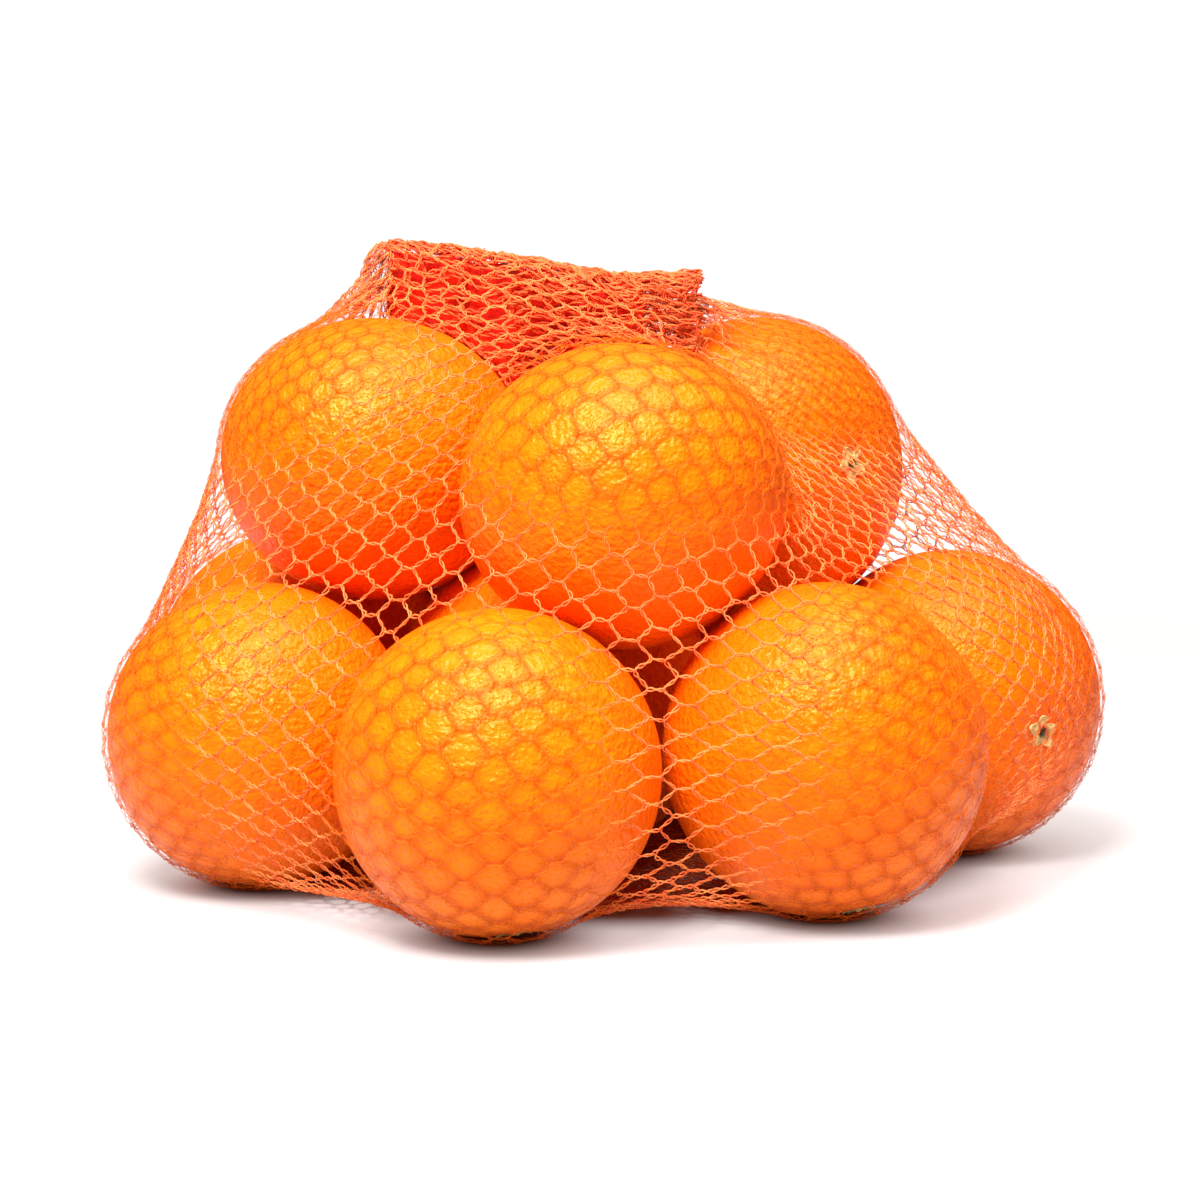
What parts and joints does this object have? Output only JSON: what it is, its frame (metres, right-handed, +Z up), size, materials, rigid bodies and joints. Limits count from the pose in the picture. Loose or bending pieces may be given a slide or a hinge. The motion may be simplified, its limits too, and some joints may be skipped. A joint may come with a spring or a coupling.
{
  "type": "net of oranges",
  "caption": "Knitted net bag filled with oranges, drawn taut over the fruit, with its gathered tail and a strip of red label film folded over the top.",
  "frame": {"origin": "middle of the bounding box at the surface that the bag rests on", "axes": "+Z up, +X to the right of the side shown, -Y towards the viewer"},
  "size_m": [0.257, 0.2328, 0.1605],
  "materials": {
    "peel": "pebbly orange peel with a soft waxy gloss, roughness about 0.4",
    "net": "fine salmon-orange plastic threads, slightly see-through",
    "film": "glossy opaque red film with soft creases, bare of print",
    "stem": "dry olive-tan stem button"
  },
  "bodies": {
    "root": {"orange_net": "peel", "label_film": "film"}
  },
  "joints": []
}
